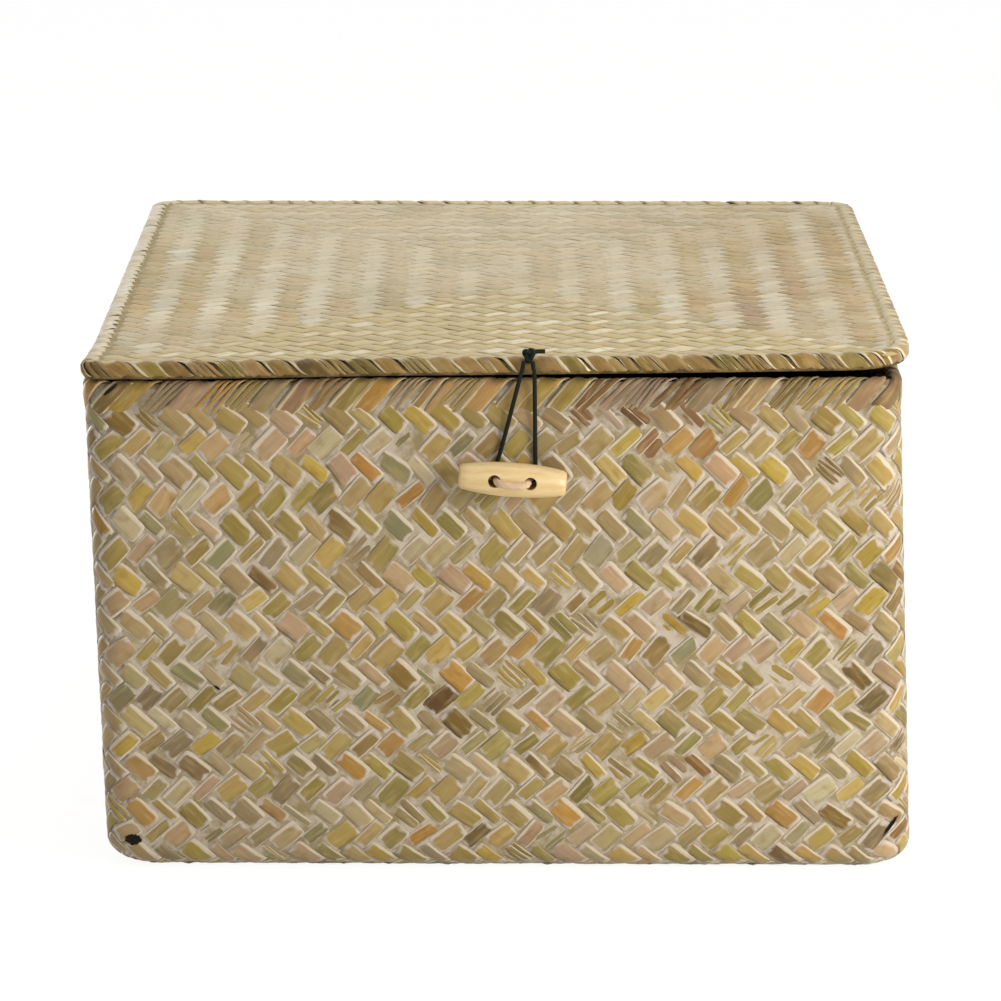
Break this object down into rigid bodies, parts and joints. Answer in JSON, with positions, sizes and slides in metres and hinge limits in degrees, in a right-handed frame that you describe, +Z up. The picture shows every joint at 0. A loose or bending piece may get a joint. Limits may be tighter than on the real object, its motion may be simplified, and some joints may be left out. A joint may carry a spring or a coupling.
{
  "type": "woven lidded box",
  "caption": "Rectangular plaited keepsake box with a lashed lid, rolled rims, a wooden toggle on thread and an elastic loop that holds the lid shut.",
  "frame": {"origin": "middle of the flat underside of the basket", "axes": "+Z up, front with the toggle towards -Y, hinge along X at the back"},
  "size_m": [0.3, 0.4058, 0.1933],
  "materials": {
    "outer_weave": "dry plaited leaf strips, satin",
    "inner_weave": "dry plaited leaf strips, matte",
    "rim_strips": "dry folded leaf strips, satin",
    "cane": "peeled cane, matte",
    "pale_thread": "twisted cotton thread, matte",
    "stitch_thread": "waxed thread, satin",
    "border_strips": "wound leaf strips, satin",
    "lid_weave": "dry plaited leaf strips, satin",
    "lid_lining": "dry plaited leaf strips, matte",
    "black_elastic": "braided elastic cord, matte",
    "toggle_wood": "turned pale wood, satin varnish"
  },
  "bodies": {
    "basket": {"outer_basket": "outer_weave", "inner_basket": "inner_weave", "rim_fold": "rim_strips", "rim_cane": "cane", "toggle_thread": "pale_thread", "thread_knot": "pale_thread", "hinge_stitch_1": "stitch_thread", "hinge_stitch_2": "stitch_thread", "hinge_stitch_3": "stitch_thread", "hinge_stitch_4": "stitch_thread", "hinge_stitch_5": "stitch_thread", "hinge_stitch_6": "stitch_thread"},
    "lid": {"lid_border": "border_strips", "lid_cane": "cane", "lid_top_mat": "lid_weave", "lid_under_mat": "lid_lining", "loop_knot": "black_elastic"},
    "loop": {"closure_loop": "black_elastic"},
    "toggle": {"toggle": "toggle_wood"}
  },
  "joints": [
    {"name": "lid_hinge", "type": "hinge", "parent": "basket", "child": "lid", "pos_m": [0, 0.1925, 0.18315], "axis": [-1, 0, 0], "range_deg": [0, 175], "deforming": ["closure_loop"]},
    {"name": "loop_swing", "type": "hinge", "parent": "lid", "child": "loop", "pos_m": [0.0131, -0.19365, 0.188], "axis": [-1, 0, 0], "range_deg": [0, 170], "deforming": ["closure_loop"]},
    {"name": "toggle_swivel", "type": "hinge", "parent": "basket", "child": "toggle", "pos_m": [0.0071, -0.19975, 0.1467], "axis": [0, 1, 0], "range_deg": [-30, 30], "deforming": ["toggle_thread"]}
  ]
}
